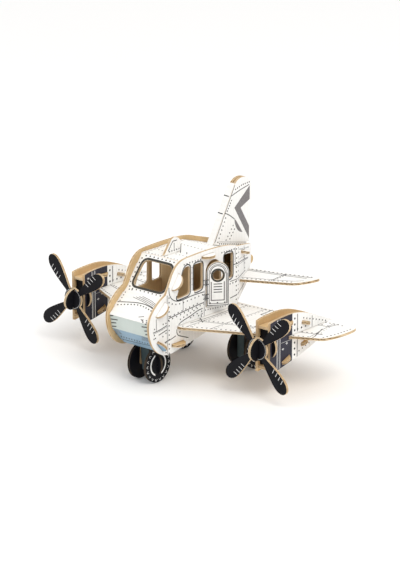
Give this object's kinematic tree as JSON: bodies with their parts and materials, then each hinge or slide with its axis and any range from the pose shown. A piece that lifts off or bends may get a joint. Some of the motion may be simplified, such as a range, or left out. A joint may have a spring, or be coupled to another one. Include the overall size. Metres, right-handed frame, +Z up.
{
  "type": "slot-together cardboard model aeroplane",
  "caption": "Free-standing model aeroplane slotted together from printed corrugated card, with turning propellers, rolling wheels and a hinged cabin door.",
  "frame": {"origin": "on the ground under the middle of the model's bounding box", "axes": "+Y towards the tail, so the nose points along -Y; +X to the side with the door, along the wing; +Z up"},
  "size_m": [0.2488, 0.1484, 0.1343],
  "materials": {
    "white_printed_card": "matte litho print on corrugated card",
    "black_printed_card": "matte litho print on corrugated card",
    "kraft_card": "bare kraft corrugated card",
    "hinge_pin": "rolled black paper"
  },
  "bodies": {
    "airframe": {"side_panel_port": "white_printed_card", "side_panel_starboard": "white_printed_card", "nose_wrap": "white_printed_card", "roof_wrap": "white_printed_card", "belly_floor": "white_printed_card", "cabin_bulkhead": "kraft_card", "rear_bulkhead": "kraft_card", "tail_lock": "kraft_card", "antenna": "white_printed_card", "fin_leaf_port": "white_printed_card", "fin_leaf_starboard": "white_printed_card", "fin_leading_strip": "white_printed_card", "door_hinge_lower": "hinge_pin", "door_hinge_upper": "hinge_pin", "wing": "white_printed_card", "tailplane": "white_printed_card", "nacelle_panel_inner_port": "white_printed_card", "nacelle_panel_outer_port": "white_printed_card", "nacelle_top_port": "kraft_card", "nacelle_bottom_port": "kraft_card", "engine_plate_port": "black_printed_card", "nacelle_panel_inner_starboard": "white_printed_card", "nacelle_panel_outer_starboard": "white_printed_card", "nacelle_top_starboard": "kraft_card", "nacelle_bottom_starboard": "kraft_card", "engine_plate_starboard": "black_printed_card", "nose_gear_leg_port": "black_printed_card", "nose_gear_leg_starboard": "black_printed_card", "nose_gear_brace": "black_printed_card", "main_gear_port_leg_port": "black_printed_card", "main_gear_port_leg_starboard": "black_printed_card", "main_gear_port_brace": "black_printed_card", "main_gear_starboard_leg_port": "black_printed_card", "main_gear_starboard_leg_starboard": "black_printed_card", "main_gear_starboard_brace": "black_printed_card"},
    "door": {"door": "white_printed_card"},
    "propeller_port": {"propeller_blades_port": "black_printed_card", "spinner_plate_port": "black_printed_card", "propeller_retainer_port": "kraft_card"},
    "propeller_starboard": {"propeller_blades_starboard": "black_printed_card", "spinner_plate_starboard": "black_printed_card", "propeller_retainer_starboard": "kraft_card"},
    "nose_gear_wheels": {"nose_gear_wheel_port": "black_printed_card", "nose_gear_wheel_starboard": "black_printed_card", "nose_gear_axle": "black_printed_card"},
    "main_gear_port_wheels": {"main_gear_port_wheel_port": "black_printed_card", "main_gear_port_wheel_starboard": "black_printed_card", "main_gear_port_axle": "black_printed_card"},
    "main_gear_starboard_wheels": {"main_gear_starboard_wheel_port": "black_printed_card", "main_gear_starboard_wheel_starboard": "black_printed_card", "main_gear_starboard_axle": "black_printed_card"}
  },
  "joints": [
    {"name": "door_hinge", "type": "hinge", "parent": "airframe", "child": "door", "pos_m": [0.02215, -0.01166, 0.0516], "axis": [0, 0, -1], "range_deg": [-40, 70]},
    {"name": "propeller_port_spin", "type": "hinge", "parent": "airframe", "child": "propeller_port", "pos_m": [0.091, -0.03476, 0.04], "axis": [0, 1, 0], "continuous": true},
    {"name": "propeller_starboard_spin", "type": "hinge", "parent": "airframe", "child": "propeller_starboard", "pos_m": [-0.091, -0.03476, 0.04], "axis": [0, 1, 0], "continuous": true},
    {"name": "nose_gear_roll", "type": "hinge", "parent": "airframe", "child": "nose_gear_wheels", "pos_m": [0, -0.05056, 0.0137], "axis": [1, 0, 0], "continuous": true},
    {"name": "main_gear_port_roll", "type": "hinge", "parent": "airframe", "child": "main_gear_port_wheels", "pos_m": [0.0356, 0.02114, 0.0137], "axis": [1, 0, 0], "continuous": true},
    {"name": "main_gear_starboard_roll", "type": "hinge", "parent": "airframe", "child": "main_gear_starboard_wheels", "pos_m": [-0.0356, 0.02114, 0.0137], "axis": [1, 0, 0], "continuous": true}
  ]
}
